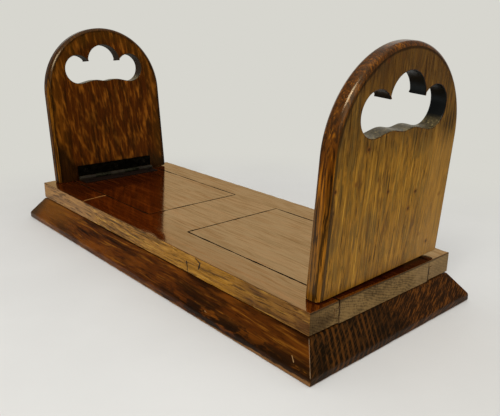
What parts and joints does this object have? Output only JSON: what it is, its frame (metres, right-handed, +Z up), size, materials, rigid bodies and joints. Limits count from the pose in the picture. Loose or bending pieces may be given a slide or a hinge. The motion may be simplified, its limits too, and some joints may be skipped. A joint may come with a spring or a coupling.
{
  "type": "book slide",
  "caption": "Extending book slide: bevelled plinth and top board with flush sliding tongues that carry hinged, arch-topped ends with pierced trefoil hand-holes.",
  "frame": {"origin": "middle of the plinth's underside", "axes": "+X along the board towards the right end, +Y away from the front, +Z up"},
  "size_m": [0.3856, 0.1666, 0.182],
  "materials": {
    "plinth_oak": "dark red-brown stained oak, satin wax",
    "board_oak": "tan oak, polished top, matt worn edges",
    "end_oak": "varnished quarter-sawn oak",
    "hinge_bronze": "dark aged bronze",
    "pin_steel": "dull steel",
    "screw_steel": "darkened steel",
    "peg_beech": "bare beech"
  },
  "bodies": {
    "base": {"plinth": "plinth_oak", "top_board": "board_oak", "plinth_screw_1": "screw_steel", "plinth_screw_2": "screw_steel", "plinth_screw_3": "screw_steel", "plinth_screw_4": "screw_steel", "plinth_screw_5": "screw_steel", "plinth_screw_6": "screw_steel"},
    "left_runner": {"left_tongue": "board_oak", "left_stop_peg": "peg_beech", "left_base_leaf": "hinge_bronze", "left_hinge_pin": "pin_steel", "left_base_leaf_screw_1": "screw_steel", "left_base_leaf_screw_2": "screw_steel", "left_base_leaf_screw_3": "screw_steel"},
    "left_upright": {"left_end": "end_oak", "left_end_leaf": "hinge_bronze", "left_end_leaf_screw_1": "screw_steel", "left_end_leaf_screw_2": "screw_steel", "left_end_leaf_screw_3": "screw_steel"},
    "right_runner": {"right_tongue": "board_oak", "right_stop_peg": "peg_beech", "right_base_leaf": "hinge_bronze", "right_hinge_pin": "pin_steel", "right_base_leaf_screw_1": "screw_steel", "right_base_leaf_screw_2": "screw_steel", "right_base_leaf_screw_3": "screw_steel"},
    "right_upright": {"right_end": "end_oak", "right_end_leaf": "hinge_bronze", "right_end_leaf_screw_1": "screw_steel", "right_end_leaf_screw_2": "screw_steel", "right_end_leaf_screw_3": "screw_steel"}
  },
  "joints": [
    {"name": "left_slide", "type": "slide", "parent": "base", "child": "left_runner", "axis": [-1, 0, 0], "range_m": [0, 0.095]},
    {"name": "left_fold", "type": "hinge", "parent": "left_runner", "child": "left_upright", "pos_m": [-0.1618, -0.0011, 0.0392], "axis": [0, 1, 0], "range_deg": [0, 95]},
    {"name": "right_slide", "type": "slide", "parent": "base", "child": "right_runner", "axis": [1, 0, 0], "range_m": [0, 0.095]},
    {"name": "right_fold", "type": "hinge", "parent": "right_runner", "child": "right_upright", "pos_m": [0.1618, 0, 0.0392], "axis": [0, -1, 0], "range_deg": [0, 94]}
  ]
}
